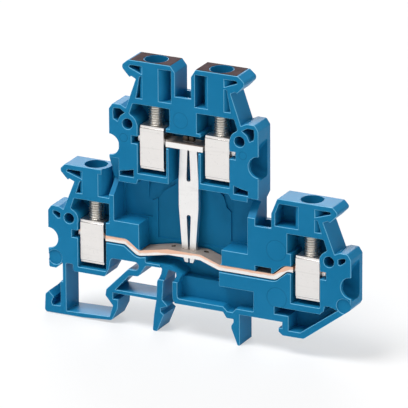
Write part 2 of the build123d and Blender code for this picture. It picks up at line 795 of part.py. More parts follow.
def narrowed(bar, clamp):
    """Narrows a bar where it passes through a cage."""
    low, high = clamp.span(-CAGE_WIDTH / 2 - NECK_GAP, TIP_OUT + EPS)
    for front, back in ((FRONT, -TONGUE_DEPTH / 2), (TONGUE_DEPTH / 2, BACK)):
        bar = bar - block((low, front, clamp.base), (high, back, clamp.top))
    return bar


def bonder_hole(low, high):
    """Slot in a bar for the prongs of the bonder."""
    half = PRONG_HALF + PRONG_PLAY
    depth = BONDER_THICK / 2 + PRONG_PLAY
    return block((UPPER_AXIS - half, -depth, low), (UPPER_AXIS + half, depth, high))


def make_lower_bar():
    """The bent copper bar between the lower clamps."""
    bar = slab(ribbon(lower_bar_line(), BAR_THICK, BAR_BEND), BAR_FRONT, BAR_BACK)
    for clamp in LOWER_CLAMPS:
        bar = narrowed(bar, clamp)
    bar = bar - bonder_hole(SAG_HEIGHT - BAR_THICK, SAG_HEIGHT + BAR_THICK)
    top = SAG_HEIGHT + BAR_THICK / 2
    for x in (UPPER_AXIS - DIMPLE_REACH, UPPER_AXIS + DIMPLE_REACH):
        bar = bar - column(x, top - DIMPLE_DEPTH, top + EPS, DIMPLE_DIAMETER)
    return bar


def make_upper_bar():
    """The straight bar between the upper clamps."""
    low = UPPER_LEFT.base + BAR_HEIGHT
    high = low + BAR_THICK
    bar = block((UPPER_LEFT.at(TIP_OUT), BAR_FRONT, low), (UPPER_RIGHT.at(TIP_OUT), BAR_BACK, high))
    for clamp in UPPER_CLAMPS:
        bar = narrowed(bar, clamp)
    return bar - bonder_hole(low - EPS, high + EPS)


def make_bonder():
    """The split plate that joins the two bars."""
    foot = SAG_HEIGHT + BAR_THICK / 2
    head = LEVEL_RISE + BAR_HEIGHT
    right_edge = [
        (PRONG_HALF - 0.25, foot - BAR_THICK - LOWER_PRONG, 0.15),
        (PRONG_HALF, foot - BAR_THICK - LOWER_PRONG + 0.6),
        (PRONG_HALF, foot),
        (BONDER_FOOT_HALF, foot),
        (BONDER_FOOT_HALF, foot + 1.0),
        (BONDER_HALF, foot + 8.2, 8.0),
        (BONDER_HALF, head - 6.5, 8.0),
        (BONDER_HEAD_HALF, head),
        (PRONG_HALF, head),
        (PRONG_HALF, head + BAR_THICK + UPPER_PRONG, 0.2),
    ]
    right = [(UPPER_AXIS + point[0], *point[1:]) for point in right_edge]
    left = [(UPPER_AXIS - point[0], *point[1:]) for point in right_edge[::-1]]
    plate = slab(right + left, BONDER_FRONT, BONDER_FRONT + BONDER_THICK)
    for bar_face, past, way in ((foot, BAR_THICK + LOWER_PRONG, 1), (head, BAR_THICK + UPPER_PRONG, -1)):
        root = bar_face + way * SPLIT_LENGTH
        split = slab([
            (UPPER_AXIS - SPLIT_END / 2, bar_face - way * (past + EPS)),
            (UPPER_AXIS + SPLIT_END / 2, bar_face - way * (past + EPS)),
            (UPPER_AXIS + SPLIT_END / 2, bar_face),
            (UPPER_AXIS + SPLIT_ROOT / 2, root, 0.35),
            (UPPER_AXIS - SPLIT_ROOT / 2, root, 0.35),
            (UPPER_AXIS - SPLIT_END / 2, bar_face),
        ], FRONT, BACK)
        plate = plate - split
    return plate


def make_cage(clamp):
    """A clamp cage: a folded steel tube along X with the thread in its roof."""
    low = clamp.base + CAGE_BOTTOM
    high = low + CAGE_HEIGHT
    left = clamp.x - CAGE_WIDTH / 2
    right = clamp.x + CAGE_WIDTH / 2
    front = -CAGE_DEPTH / 2
    back = CAGE_DEPTH / 2
    inner_front = front + CAGE_WALL
    room = block(
        (left - EPS, inner_front, low + CAGE_WALL),
        (right + EPS, back - CAGE_WALL, high - CAGE_ROOF),
    )
    thread = column(clamp.x, high - CAGE_ROOF - EPS, high + EPS, THREAD_DIAMETER + 2 * THREAD_PLAY)
    lip_back = front + CAGE_LIP_DEPTH
    lip = block((left - EPS, front - EPS, low - EPS), (right + EPS, lip_back, low + CAGE_LIP))
    fold_back = front + CAGE_FOLD_DEPTH
    fold = block((left - EPS, front - EPS, high - CAGE_FOLD), (right + EPS, fold_back, high + EPS))
    return block((left, front, low), (right, back, high)) - room - thread - lip - fold


def make_screw(clamp):
    """A slotted clamp screw whose head rests on the ledge."""
    tip = clamp.base + BAR_TOP + SCREW_TIP_GAP
    under_head = clamp.base + HEAD_SEAT + HEAD_LIFT
    head_top = under_head + HEAD_HEIGHT
    stand = (Align.CENTER, Align.CENTER, Align.MIN)
    screw = Pos(clamp.x, 0, tip) * Cone(POINT_DIAMETER / 2, THREAD_DIAMETER / 2, POINT_LENGTH, align=stand)
    screw = screw + column(clamp.x, tip + POINT_LENGTH, under_head, THREAD_DIAMETER)
    screw = screw + column(clamp.x, under_head, head_top, HEAD_DIAMETER)
    slot = block(
        (clamp.x - HEAD_DIAMETER, -SLOT_WIDTH / 2, head_top - SLOT_DEPTH),
        (clamp.x + HEAD_DIAMETER, SLOT_WIDTH / 2, head_top + EPS),
    )
    return screw - slot


def make_print(clamp):
    """The dark print on top of an upper tower, round its bore."""
    low, high = clamp.span(-4.1, 4.2)
    side = THICKNESS / 2 - PRINT_MARGIN
    field = block((low, -side, clamp.top), (high, side, clamp.top + PRINT_THICK))
    return field - column(clamp.x, clamp.top - EPS, clamp.top + EPS, DRIVER_BORE + 2 * PRINT_MARGIN)


def save(shape, node):
    """Writes one node."""
    export_step(shape, f"parts/{node}.step")


save(make_housing(), "housing")
save(make_lower_bar(), "lower_bar")
save(make_upper_bar(), "upper_bar")
save(make_bonder(), "level_bonder")
for clamp in CLAMPS:
    save(make_cage(clamp), f"{clamp.name}_cage")
    save(make_screw(clamp), f"{clamp.name}_screw")
for clamp in UPPER_CLAMPS:
    save(make_print(clamp), f"{clamp.name}_print")
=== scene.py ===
"""Looks of a miniature feed-through terminal block: moulded housing, bent bars, cages and screws."""

import math
from contextlib import contextmanager

import bpy
from bpy.props import FloatProperty, FloatVectorProperty, IntProperty, PointerProperty
from bpy.types import Operator, Panel, PropertyGroup
from mathutils import Matrix, Vector


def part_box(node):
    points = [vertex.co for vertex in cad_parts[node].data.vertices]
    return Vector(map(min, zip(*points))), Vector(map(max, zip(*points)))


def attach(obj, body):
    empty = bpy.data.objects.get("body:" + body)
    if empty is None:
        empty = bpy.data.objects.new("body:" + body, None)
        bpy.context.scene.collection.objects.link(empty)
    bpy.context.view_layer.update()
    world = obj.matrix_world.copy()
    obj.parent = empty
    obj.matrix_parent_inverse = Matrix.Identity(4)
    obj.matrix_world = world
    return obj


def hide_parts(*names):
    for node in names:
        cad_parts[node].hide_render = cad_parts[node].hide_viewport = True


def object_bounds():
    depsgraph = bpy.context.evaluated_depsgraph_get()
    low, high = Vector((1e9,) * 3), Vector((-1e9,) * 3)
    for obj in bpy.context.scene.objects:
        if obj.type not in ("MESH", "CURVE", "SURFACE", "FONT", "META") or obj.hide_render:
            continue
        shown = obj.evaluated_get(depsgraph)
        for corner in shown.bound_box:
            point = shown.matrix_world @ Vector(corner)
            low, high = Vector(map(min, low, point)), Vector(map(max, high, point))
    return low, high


bl_info = {
    "name": "Terminal Block",
    "version": (1, 0, 0),
    "blender": (4, 5, 0),
    "location": "3D View > Sidebar > Terminal Block",
    "description": "Dresses a two-level screw terminal block in moulded plastic, nickel and copper",
    "category": "Add Mesh",
}

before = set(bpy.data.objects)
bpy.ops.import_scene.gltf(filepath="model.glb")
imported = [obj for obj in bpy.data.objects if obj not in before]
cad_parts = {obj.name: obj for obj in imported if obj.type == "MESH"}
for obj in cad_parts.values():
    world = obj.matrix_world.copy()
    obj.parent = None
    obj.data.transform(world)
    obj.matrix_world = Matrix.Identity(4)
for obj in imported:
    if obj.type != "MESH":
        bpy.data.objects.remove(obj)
CAD_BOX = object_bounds()

CLAMPS = ("upper_left", "upper_right", "lower_left", "lower_right")
WHITE = (1.0, 1.0, 1.0)
MM = 0.001
FRONT = CAD_BOX[0].y

# Nearer points are merged, and nearer places count as on a level or alongside an edge
MERGED = 0.002 * MM
ON_LEVEL = 0.01 * MM
ALONGSIDE = 0.02 * MM

# Faces that turn by less are one plane, and edges that turn by more are sharp
SAME_PLANE = math.radians(0.6)
SHARP = math.radians(40)
THREAD_SHARP = math.radians(35)

# Middle and radius of each round mark of the mould's pins on the front, in millimetres
PIN_MARKS = (
    (-3.2, 36.3, 1.5),
    (-15.0, 31.2, 0.8),
    (9.6, 31.4, 0.75),
    (16.4, 13.9, 2.0),
    (16.5, 4.6, 2.0),
)


# Selecting and shaping

def deselect():
    """Nothing is selected and nothing is active."""
    bpy.ops.object.select_all(action="DESELECT")
    bpy.context.view_layer.objects.active = None


def select_only(piece):
    """Makes a piece the only selected and the active object."""
    deselect()
    piece.select_set(True)
    bpy.context.view_layer.objects.active = piece


@contextmanager
def editing(piece):
    """Edit mode on one piece, with nothing in it selected."""
    select_only(piece)
    bpy.ops.object.mode_set(mode="EDIT")
    bpy.ops.mesh.select_all(action="DESELECT")
    yield piece.data
    bpy.ops.object.mode_set(mode="OBJECT")


def pick_faces(piece, test):
    """Selects the faces whose centre and normal pass a test."""
    bpy.ops.mesh.select_all(action="DESELECT")
    bpy.ops.mesh.select_mode(type="FACE")
    bpy.ops.object.mode_set(mode="OBJECT")
    for face in piece.data.polygons:
        face.select = bool(test(face.center, face.normal))
    bpy.ops.object.mode_set(mode="EDIT")


def pick_edges(piece, test):
    """Selects the edges whose two ends pass a test."""
    bpy.ops.mesh.select_all(action="DESELECT")
    bpy.ops.mesh.select_mode(type="EDGE")
    bpy.ops.object.mode_set(mode="OBJECT")
    points = piece.data.vertices
    for edge in piece.data.edges:
        start, end = (points[i].co for i in edge.vertices)
        edge.select = bool(test(start, end))
    bpy.ops.object.mode_set(mode="EDIT")


def modify(piece, kind, **settings):
    """Adds a modifier and applies it."""
    select_only(piece)
    modifier = piece.modifiers.new(kind.lower(), kind)
    for name, value in settings.items():
        setattr(modifier, name, value)
    bpy.ops.object.modifier_apply(modifier=modifier.name)


def copied(node, name):
    """A CAD node's shape as a new piece, merged and with its flat faces whole."""
    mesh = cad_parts[node].data.copy()
    mesh.name = name
    mesh.materials.clear()
    piece = bpy.data.objects.new(name, mesh)
    bpy.context.scene.collection.objects.link(piece)
    select_only(piece)
    bpy.ops.mesh.customdata_custom_splitnormals_clear()
    with editing(piece):
        bpy.ops.mesh.select_all(action="SELECT")
        bpy.ops.mesh.remove_doubles(threshold=MERGED)
        bpy.ops.mesh.dissolve_limited(angle_limit=SAME_PLANE)
    return piece


def smooth(piece):
    """Shades a piece smooth but for its sharp edges, and keeps its large faces flat."""
    select_only(piece)
    bpy.ops.object.shade_smooth_by_angle(angle=SHARP)
    modify(piece, "WEIGHTED_NORMAL", keep_sharp=True)


def soften(piece, width, angle):
    """Rounds the edges of a piece that turn by more than an angle in degrees."""
    modify(
        piece,
        "BEVEL",
        width=width,
        segments=2,
        limit_method="ANGLE",
        angle_limit=math.radians(angle),
        use_clamp_overlap=True,
    )
    smooth(piece)


def chamfer_rims(piece, way, level, width, finish):
    """Chamfers the rims of all faces that look along Y at one level, and gives the chamfer a finish.

    The faces are inset and filled anew, and their outer rims then move back by the same width. Way is
    -1 for the front and 1 for the back.
    """

    square_on, steepest, least = 0.99, 0.95, 0.3

    def at_level(place):
        return abs(place.y - level) < ON_LEVEL

    with editing(piece) as mesh:
        pick_faces(piece, lambda centre, normal: normal.y * way > square_on and at_level(centre))
        bpy.ops.mesh.inset(thickness=width, use_even_offset=True)
        bpy.ops.mesh.delete(type="FACE")
        bpy.ops.mesh.select_mode(type="EDGE")
        bpy.ops.mesh.select_non_manifold()
        bpy.ops.object.mode_set(mode="OBJECT")
        inner = [point.select for point in mesh.vertices]
        bpy.ops.object.mode_set(mode="EDIT")
        bpy.ops.mesh.fill(use_beauty=True)
        bpy.ops.mesh.select_all(action="DESELECT")
        bpy.ops.mesh.select_mode(type="VERT")
        bpy.ops.object.mode_set(mode="OBJECT")
        for point, kept in zip(mesh.vertices, inner):
            point.select = at_level(point.co) and not kept
        bpy.ops.object.mode_set(mode="EDIT")
        bpy.ops.transform.translate(value=(0.0, -way * width, 0.0))
        bpy.ops.mesh.select_all(action="SELECT")
        bpy.ops.mesh.normals_make_consistent(inside=False)
    for face in piece.data.polygons:
        sloped = least < face.normal.y * way < steepest
        if sloped and abs(face.center.y - level) < 0.9 * width:
            face.material_index = finish


def dress(piece, body, finishes, nodes):
    """Gives a piece its finishes, lets it ride on its body and stand for its CAD nodes."""
    for finish in finishes:
        piece.data.materials.append(finish)
    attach(piece, body)
    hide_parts(*nodes)


def moved_to_origin(piece):
    """Puts a piece's place and turn into its mesh."""
    select_only(piece)
    bpy.ops.object.transform_apply(location=True, rotation=True, scale=True)


# Materials

class Wire:
    """A socket's value, which can be used in sums like a number."""

    def __init__(self, nodes, socket):
        self.nodes = nodes
        self.socket = socket

    def maths(self, operation, *values, clamp=False):
        inputs = dict(enumerate(values))
        return self.nodes.node("ShaderNodeMath", {"operation": operation, "use_clamp": clamp}, inputs)

    def __add__(self, other):
        return self.maths("ADD", self, other)

    def __radd__(self, other):
        return self.maths("ADD", other, self)

    def __sub__(self, other):
        return self.maths("SUBTRACT", self, other)

    def __rsub__(self, other):
        return self.maths("SUBTRACT", other, self)

    def __mul__(self, other):
        return self.maths("MULTIPLY", self, other)

    def __rmul__(self, other):
        return self.maths("MULTIPLY", other, self)

    def __abs__(self):
        return self.maths("ABSOLUTE", self)

    def larger(self, other):
        return self.maths("MAXIMUM", self, other)

    def clamped(self):
        return self.maths("ADD", self, 0.0, clamp=True)

    def rise(self, low, high):
        """0 below low, 1 above high and a smooth rise between."""
        settings = {"interpolation_type": "SMOOTHSTEP"}
        inputs = {"Value": self, "From Min": low, "From Max": high}
        return self.nodes.node("ShaderNodeMapRange", settings, inputs)


class Nodes:
    """A tree of shader nodes while they are laid."""

    def __init__(self, tree):
        self.tree = tree

    def feed(self, socket, value):
        """Links a wire to a socket, or sets the socket to a constant."""
        if isinstance(value, Wire):
            self.tree.links.new(value.socket, socket)
        elif socket.type == "RGBA" and len(value) == 3:
            socket.default_value = (*value, 1.0)
        else:
            socket.default_value = value

    def node(self, kind, settings, inputs, output=0):
        """Any node, from its type, its settings and the values or wires of its sockets."""
        made = self.tree.nodes.new(kind)
        for name, value in settings.items():
            setattr(made, name, value)
        for name, value in inputs.items():
            self.feed(made.inputs[name], value)
        return Wire(self, made.outputs[output])

    def seen(self):
        """1 for what the camera or a glossy surface sees, and 0 for what only gives light."""
        camera = self.node("ShaderNodeLightPath", {}, {}, "Is Camera Ray")
        gloss = self.node("ShaderNodeLightPath", {}, {}, "Is Glossy Ray")
        return camera.larger(gloss)


class Finish(Nodes):
    """A material while its nodes are laid."""

    def __init__(self, name):
        self.material = bpy.data.materials.new(name)
        self.material.use_nodes = True
        super().__init__(self.material.node_tree)
        self.surface = self.tree.nodes["Principled BSDF"]
        self.place = self.node("ShaderNodeTexCoord", {}, {}, "Object")

    def stretched(self, scale):
        """Object coordinates scaled along each axis."""
        return self.node("ShaderNodeMapping", {}, {"Vector": self.place, "Scale": scale})

    def noise(self, scale, detail, roughness, place=None):
        """Soft noise between 0 and 1."""
        inputs = {"Vector": place or self.place, "Scale": scale, "Detail": detail, "Roughness": roughness}
        return self.node("ShaderNodeTexNoise", {}, inputs)

    def axis(self, name):
        """One of the object coordinates, in metres."""
        return self.node("ShaderNodeSeparateXYZ", {}, {"Vector": self.place}, name)

    def facing(self, name):
        """One part of the surface's own direction."""
        normal = self.node("ShaderNodeNewGeometry", {}, {}, "Normal")
        return self.node("ShaderNodeSeparateXYZ", {}, {"Vector": normal}, name)

    def mark(self, name):
        """A value that the mesh itself carries at each point."""
        return self.node("ShaderNodeAttribute", {"attribute_name": name}, {}, "Fac")

    def blend(self, share, first, second):
        """A mix of two colours by a share. The Mix node's colours are its inputs 6 and 7 and output 2."""
        return self.node("ShaderNodeMix", {"data_type": "RGBA"}, {0: share, 6: first, 7: second}, 2)

    def relief(self, height, depth):
        """Turns a height into the surface's relief. Depth is in metres."""
        bump = self.node("ShaderNodeBump", {}, {"Height": height, "Distance": depth, "Strength": 1.0})
        self.feed(self.surface.inputs["Normal"], bump)

    def set(self, **sockets):
        """Sets sockets of the surface. An underscore stands for a space."""
        for name, value in sockets.items():
            self.feed(self.surface.inputs[name.replace("_", " ")], value)


def scaled(values, factor):
    """A colour or a set of scales times a factor."""
    return [factor * value for value in values]


def pin_rings(finish, marks):
    """1 on the fine rings of the mould's pins, on the front alone, and 0 beside them."""
    rings = None
    for x, z, radius in marks:
        middle = (x * MM, 0.0, z * MM)
        offset = finish.node("ShaderNodeVectorMath", {"operation": "SUBTRACT"}, {0: finish.place, 1: middle})
        flat = finish.node("ShaderNodeVectorMath", {"operation": "MULTIPLY"}, {0: offset, 1: (1.0, 0.0, 1.0)})
        away = finish.node("ShaderNodeVectorMath", {"operation": "LENGTH"}, {0: flat}, "Value")
        ring = 1.0 - abs(away - radius * MM).rise(0.02 * MM, 0.13 * MM)
        rings = ring if rings is None else rings.larger(ring)
    front = 1.0 - finish.axis("Y").rise(FRONT + 0.01 * MM, FRONT + 0.2 * MM)
    return rings * front


def moulded_plastic(name, colour, pale, roughness, sheen, marks=()):
    """Satin polyamide with faint cloudiness, a fine grain and round marks of the mould's pins."""
    finish = Finish(name)
    cloud = finish.noise(90.0, 4.0, 0.6)
    grain = finish.noise(5200.0, 3.0, 0.6)
    height = grain * 0.12
    tint = finish.blend(cloud.rise(0.35, 0.7), colour, pale)
    if marks:
        rings = pin_rings(finish, marks)
        height = height - rings
        tint = finish.blend(rings * 0.4, tint, scaled(colour, 0.55))
    finish.set(Base_Color=tint, Roughness=roughness + (cloud - 0.5) * 0.1)
    finish.set(IOR=1.5, Specular_IOR_Level=sheen)
    finish.relief(height, 0.03 * MM)
    return finish.material


def bright_nickel(name, colour, brushed, painted_dark_top=None, creases=()):
    """Nickel-plated steel with fine strokes and specks, painted shade above a height and painted shade along
    creases.
    """
    finish = Finish(name)
    stroke = finish.noise(1.0, 4.0, 0.7, finish.stretched(scaled(brushed, 700.0)))
    speck = finish.noise(2600.0, 2.0, 0.5)
    dull = finish.noise(240.0, 3.0, 0.5)
    spots = speck.rise(0.62, 0.74) * 0.35 + dull.rise(0.5, 0.8) * 0.2
    stain = (spots + stroke.rise(0.5, 0.8) * 0.3).clamped()
    tint = finish.blend(stain, colour, scaled(colour, 0.72))
    # Painted shade: above the given height the colour turns dark, for the shaded prongs of the bonder.
    if painted_dark_top is not None:
        low, high, top_shade_colour = painted_dark_top
        tint = finish.blend(finish.axis("Z").rise(low, high), tint, top_shade_colour)
    # Painted shade: a thin near-black line along each crease, on faces that look to the front.
    for height in creases:
        line = 1.0 - abs(finish.axis("Z") - height).rise(0.03 * MM, 0.09 * MM)
        front = 1.0 - finish.facing("Y").rise(-0.8, -0.5)
        tint = finish.blend(line * front * 0.8, tint, scaled(colour, 0.12))
    finish.set(Base_Color=tint, Metallic=1.0, Roughness=0.27 + stroke * 0.16 + stain * 0.1)
    finish.relief(stroke * 0.7 + speck * 0.3, 0.004 * MM)
    return finish.material


def bent_copper(name, copper, tin, top, bare):
    """Copper strip, tinned along its lower edge, with a painted reflection on its upper face: a dark colour
    for the shaded housing that it mirrors.

    The larger bare is, the further the copper shows below the upper face.
    """
    finish = Finish(name)
    through = finish.mark("through")
    smear = finish.noise(300.0, 3.0, 0.6, finish.stretched((1.0, 1.0, 2.5)))
    share = (through + (smear - 0.5) * 1.1).rise(0.8 - bare, 1.25 - bare)
    edge = finish.blend(share, tin, copper)
    cloud = finish.noise(330.0, 4.0, 0.65)
    # Random clouds that turn the upper face towards a darker copper.
    darkening = finish.noise(120.0, 3.0, 0.6)
    face = finish.blend(cloud.rise(0.35, 0.7), top, scaled(top, 0.7))
    face = finish.blend(darkening.rise(0.4, 0.65) * 0.35, face, scaled(copper, 0.45))
    # Faces that look up take the dark top colour and mirror less: a painted reflection of the shaded housing.
    up = finish.facing("Z").rise(0.55, 0.8)
    tint = finish.blend(up, edge, face)
    finish.set(Base_Color=tint, Metallic=1.0 - up * 0.85, Roughness=0.3 + cloud * 0.15 + up * 0.15)
    finish.relief(smear * 0.5 + cloud * 0.5, 0.01 * MM)
    return finish.material


def plated_screw(name, colour):
    """Zinc-plated screw steel, darker in the roots of its thread."""
    finish = Finish(name)
    cloud = finish.noise(700.0, 4.0, 0.6)
    # Darker towards the roots of the thread, and in random clouds.
    darkening = (finish.mark("root") * 0.7 + cloud.rise(0.4, 0.8) * 0.15).clamped()
    tint = finish.blend(darkening, colour, scaled(colour, 0.4))
    finish.set(Base_Color=tint, Metallic=1.0, Roughness=0.34 + cloud * 0.14)
    finish.relief(cloud, 0.006 * MM)
    return finish.material


def dark_print(name, colour):
    """Matt print with a fine grain and thin places."""
    finish = Finish(name)
    cloud = finish.noise(420.0, 4.0, 0.6)
    grain = finish.noise(6000.0, 2.0, 0.5)
    tint = finish.blend(cloud.rise(0.35, 0.75), colour, scaled(colour, 1.7))
    finish.set(Base_Color=tint, Roughness=0.7 + cloud * 0.2, Specular_IOR_Level=0.03)
    finish.relief(grain, 0.008 * MM)
    return finish.material


# Sizes and colours a user would change

class HousingSettings(PropertyGroup):
    """The moulded housing."""

    colour: FloatVectorProperty(
        name="Colour",
        description="Colour of the moulded plastic",
        default=(0.008, 0.182, 0.37),
        subtype="COLOR",
        min=0.0,
        max=1.0,
    )
    pale: FloatVectorProperty(
        name="Cloud colour",
        description="Colour of the plastic where it is a little paler",
        default=(0.012, 0.2, 0.4),
        subtype="COLOR",
        min=0.0,
        max=1.0,
    )
    # Painted highlight: the lighter blue given to the rim chamfers stands in for light caught by the rounded
    # edges.
    edge_highlight: FloatVectorProperty(
        name="Edge colour",
        description="Colour of the plastic along its edges",
        default=(0.15, 0.46, 0.68),
        subtype="COLOR",
        min=0.0,
        max=1.0,
    )
    edge: FloatProperty(
        name="Edge width",
        description="Width of the chamfer along the moulded rims",
        default=0.08 * MM,
        subtype="DISTANCE",
        unit="LENGTH",
        precision=5,
    )
    roughness: FloatProperty(
        name="Roughness",
        description="Roughness of the plastic",
        default=0.36,
        min=0.0,
        max=1.0,
    )
    sheen: FloatProperty(
        name="Sheen",
        description="How much the plastic mirrors",
        default=0.05,
        min=0.0,
        max=1.0,
    )


class MetalSettings(PropertyGroup):
    """The bars, the bonder, the cages and the screws."""

    nickel: FloatVectorProperty(
        name="Nickel",
        description="Colour of the bonder",
        default=(0.86, 0.85, 0.84),
        subtype="COLOR",
        min=0.0,
        max=1.0,
    )
    cage: FloatVectorProperty(
        name="Cage",
        description="Colour of the cages",
        default=(0.81, 0.785, 0.765),
        subtype="COLOR",
        min=0.0,
        max=1.0,
    )
    copper: FloatVectorProperty(
        name="Copper",
        description="Colour of the bare copper edge",
        default=(0.84, 0.52, 0.38),
        subtype="COLOR",
        min=0.0,
        max=1.0,
    )
    tin: FloatVectorProperty(
        name="Tin",
        description="Colour of the tinned edges",
        default=(0.90, 0.88, 0.86),
        subtype="COLOR",
        min=0.0,
        max=1.0,
    )
    # Painted reflection: the dark colour of the bars' upper faces stands in for the shaded housing they
    # mirror.
    painted_dark_top: FloatVectorProperty(
        name="Painted dark top",
        description="Colour of the upper faces of the bars",
        default=(0.34, 0.29, 0.25),
        subtype="COLOR",
        min=0.0,
        max=1.0,
    )
    # Painted shade: a dark colour for the dimples in the bars and for the bonder's prongs above the upper
    # bar.
    painted_shade: FloatVectorProperty(
        name="Painted shade",
        description="Colour of the bonder's prongs and of the dimples in the bars",
        default=(0.10, 0.085, 0.07),
        subtype="COLOR",
        min=0.0,
        max=1.0,
    )
    zinc: FloatVectorProperty(
        name="Screw",
        description="Colour of the screws",
        default=(0.78, 0.74, 0.68),
        subtype="COLOR",
        min=0.0,
        max=1.0,
    )
    edge: FloatProperty(
        name="Edge width",
        description="Width of the rounding along sheared edges",
        default=0.08 * MM,
        subtype="DISTANCE",
        unit="LENGTH",
        precision=5,
    )
    fold: FloatProperty(
        name="Fold radius",
        description="Outer radius of the folds of a cage",
        default=0.35 * MM,
        subtype="DISTANCE",
        unit="LENGTH",
        precision=5,
    )
    sheet: FloatProperty(
        name="Sheet thickness",
        description="From the ends of a cage to the creases on its front",
        default=0.45 * MM,
        subtype="DISTANCE",
        unit="LENGTH",
        precision=5,
    )
    pitch: FloatProperty(
        name="Thread pitch",
        description="Rise of the thread in one turn",
        default=0.5 * MM,
        subtype="DISTANCE",
        unit="LENGTH",
        precision=5,
    )
    thread: FloatProperty(
        name="Thread diameter",
        description="Diameter over the thread",
        default=3.0 * MM,
        subtype="DISTANCE",
        unit="LENGTH",
        precision=5,
    )
    thread_depth: FloatProperty(
        name="Thread depth",
        description="Depth of the thread",
        default=0.29 * MM,
        subtype="DISTANCE",
        unit="LENGTH",
        precision=5,
    )
    thread_steps: IntProperty(
        name="Thread steps",
        description="Steps in one turn of the thread",
        default=32,
        min=8,
    )
    head_height: FloatProperty(
        name="Head height",
        description="Height of the screw's head",
        default=1.9 * MM,
        subtype="DISTANCE",
        unit="LENGTH",
        precision=5,
    )
    slot_width: FloatProperty(
        name="Slot width",
        description="Width of the screwdriver slot",
        default=0.7 * MM,
        subtype="DISTANCE",
        unit="LENGTH",
        precision=5,
    )
    slot_depth: FloatProperty(
        name="Slot depth",
        description="Depth of the screwdriver slot",
        default=1.0 * MM,
        subtype="DISTANCE",
        unit="LENGTH",
        precision=5,
    )


class PrintSettings(PropertyGroup):
    """The print on the upper towers."""

    colour: FloatVectorProperty(
        name="Colour",
        description="Colour of the print",
        default=(0.055, 0.037, 0.039),
        subtype="COLOR",
        min=0.0,
        max=1.0,
    )


class StageSettings(PropertyGroup):
    """The floor, the light and the camera."""

    floor_size: FloatProperty(
        name="Floor size",
        description="Length of the floor",
        default=8.0,
        subtype="DISTANCE",
        unit="LENGTH",
    )
    key_power: FloatProperty(
        name="Key light",
        description="Power of the key light",
        default=7.0,
        unit="POWER",
    )
    back_power: FloatProperty(
        name="Back light",
        description="Power of the light behind",
        default=3.6,
        unit="POWER",
    )
    side_power: FloatProperty(
        name="Side light",
        description="Power of the light on the right",
        default=1.6,
        unit="POWER",
    )
    sky_level: FloatProperty(
        name="Sky",
        description="Level of the light from all round",
        default=0.3,
        min=0.0,
    )
    azimuth: FloatProperty(
        name="Azimuth",
        description="How far the camera stands to the right",
        default=0.463,
        subtype="ANGLE",
        unit="ROTATION",
    )
    elevation: FloatProperty(
        name="Elevation",
        description="How far the camera stands above the block",
        default=math.radians(20.0),
        subtype="ANGLE",
        unit="ROTATION",
    )
    roll: FloatProperty(
        name="Roll",
        description="Turn of the picture",
        default=-0.005,
        subtype="ANGLE",
        unit="ROTATION",
    )
    distance: FloatProperty(
        name="Distance",
        description="From the camera to the middle of the block",
        default=1.0517,
        subtype="DISTANCE",
        unit="LENGTH",
    )
    lens: FloatProperty(name="Lens", description="Focal length in millimetres", default=500.7)
    target: FloatVectorProperty(
        name="Target",
        description="The point in the middle of the picture",
        default=(0.308 * MM, 0.0, 19.68 * MM),
        subtype="XYZ",
        unit="LENGTH",
        precision=5,
    )


# The pieces

class TERMINALBLOCK_OT_housing(Operator):
    """Chamfers the rims of the moulding, gives it satin blue plastic and paints a lighter highlight on the
    chamfers.
    """

    bl_idname = "terminal_block.housing"
    bl_label = "Add Housing"

    def execute(self, context):
        settings = context.scene.block_housing
        colour, pale, edge_highlight = list(settings.colour), list(settings.pale), list(settings.edge_highlight)
        look = settings.roughness, settings.sheen
        body = moulded_plastic("moulded_plastic", colour, pale, *look, PIN_MARKS)
        # The chamfers' lighter blue is a painted highlight along the rims.
        edge = moulded_plastic("painted_edge_highlight", edge_highlight, edge_highlight, *look)
        housing = copied("housing", "moulded_housing")
        low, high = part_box("housing")
        dress(housing, "housing", (body, edge), ("housing",))
        chamfer_rims(housing, -1, low.y, settings.edge, 1)
        chamfer_rims(housing, 1, high.y, settings.edge, 1)
        smooth(housing)
        return {"FINISHED"}


def mark_strip(strip):
    """Marks the points of a strip's upper face with 1 and its other points with 0."""
    marks = strip.data.attributes.new("through", "FLOAT", "POINT")
    for face in strip.data.polygons:
        if face.normal.z > 0.5:
            for i in face.vertices:
                marks.data[i].value = 1.0


def darken_dimples(strip, finish):
    """Gives the dimples, which are the small faces clear of a strip's front and back, a finish with painted
    shade.
    """
    clear, largest = 0.3 * MM, 0.7 * MM * MM
    depths = [point.co.y for point in strip.data.vertices]
    low, high = min(depths) + clear, max(depths) - clear
    for face in strip.data.polygons:
        inside = all(low < depths[i] < high for i in face.vertices)
        if inside and face.area < largest:
            face.material_index = finish


class TERMINALBLOCK_OT_bars(Operator):
    """Shears the edges of the two current bars and gives them copper and tin."""

    bl_idname = "terminal_block.bars"
    bl_label = "Add Bars"

    def execute(self, context):
        settings = context.scene.block_metal
        copper, tin, top_shade_colour = list(settings.copper), list(settings.tin), list(settings.painted_dark_top)
        dark = list(settings.painted_shade)
        bent = bent_copper("bent_copper", copper, tin, top_shade_colour, 0.45)
        tinned = bent_copper("tinned_bar", copper, tin, top_shade_colour, -0.1)
        # The dimples get the dark colour all over: painted shade in the small recesses.
        dimple = bent_copper("shaded_dimple", dark, dark, dark, 0.4)
        for node, name, finish in (
            ("lower_bar", "bent_lower_bar", bent),
            ("upper_bar", "straight_upper_bar", tinned),
        ):
            bar = copied(node, name)
            mark_strip(bar)
            darken_dimples(bar, 1)
            dress(bar, "housing", (finish, dimple), (node,))
            soften(bar, settings.edge, 50)
        return {"FINISHED"}


